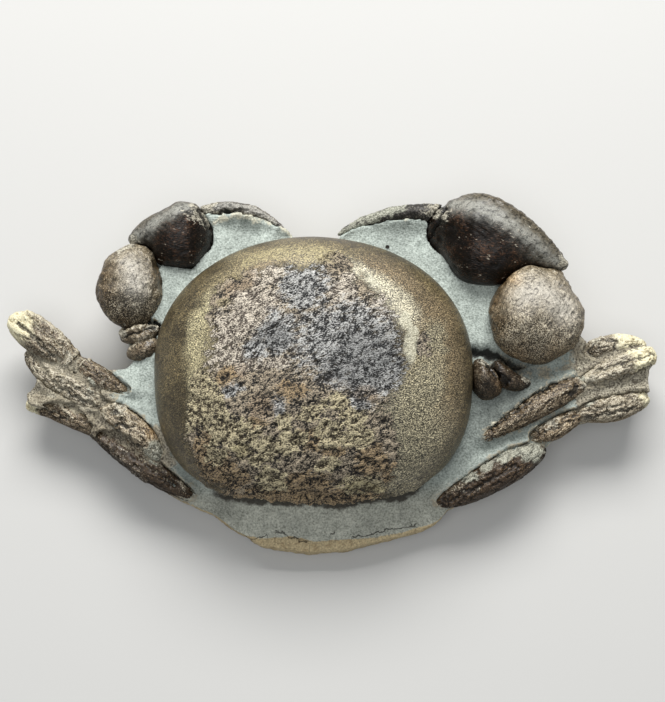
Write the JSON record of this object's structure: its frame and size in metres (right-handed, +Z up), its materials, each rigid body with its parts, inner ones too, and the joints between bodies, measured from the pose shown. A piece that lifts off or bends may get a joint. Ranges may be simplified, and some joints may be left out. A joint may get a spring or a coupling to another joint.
{
  "type": "fossil crab in stone matrix",
  "caption": "Fossil crab with a swollen shell, folded claws and walking legs, freed from above in the slab of grey siltstone that still holds it.",
  "frame": {"origin": "centre of the bounding box at the level of the flat base", "axes": "+X to the crab's right, the side of its larger claw; +Y to its front; +Z up out of the stone"},
  "size_m": [0.1802, 0.0976, 0.0428],
  "materials": {
    "shell": "fossil shell, smooth semi-gloss olive brown flanks with a rough weathered crown",
    "claw": "fossil claw shell, glossy dark brown with worn grey highlights and small pits",
    "leg": "fossil leg shell, ridged brown and tan with pale tips",
    "stone": "matt fine-grained grey-green siltstone with a tan weathered rim"
  },
  "bodies": {
    "root": {"shell": "shell", "stone": "stone", "left_claw_palm": "claw", "left_claw_finger": "claw", "left_claw_wrist": "claw", "left_claw_arm": "claw", "left_claw_arm_base": "claw", "right_claw_palm": "claw", "right_claw_finger": "claw", "right_claw_wrist": "claw", "right_claw_arm": "claw", "right_claw_arm_base": "claw", "left_leg_1_thigh": "leg", "left_leg_1_shank": "leg", "left_leg_2_thigh": "leg", "left_leg_2_shank": "leg", "left_leg_3_thigh": "leg", "left_leg_3_shank": "leg", "right_leg_1_thigh": "leg", "right_leg_1_shank": "leg", "right_leg_1_foot": "leg", "right_leg_2_thigh": "leg", "right_leg_2_shank": "leg", "right_leg_3": "leg"}
  },
  "joints": []
}
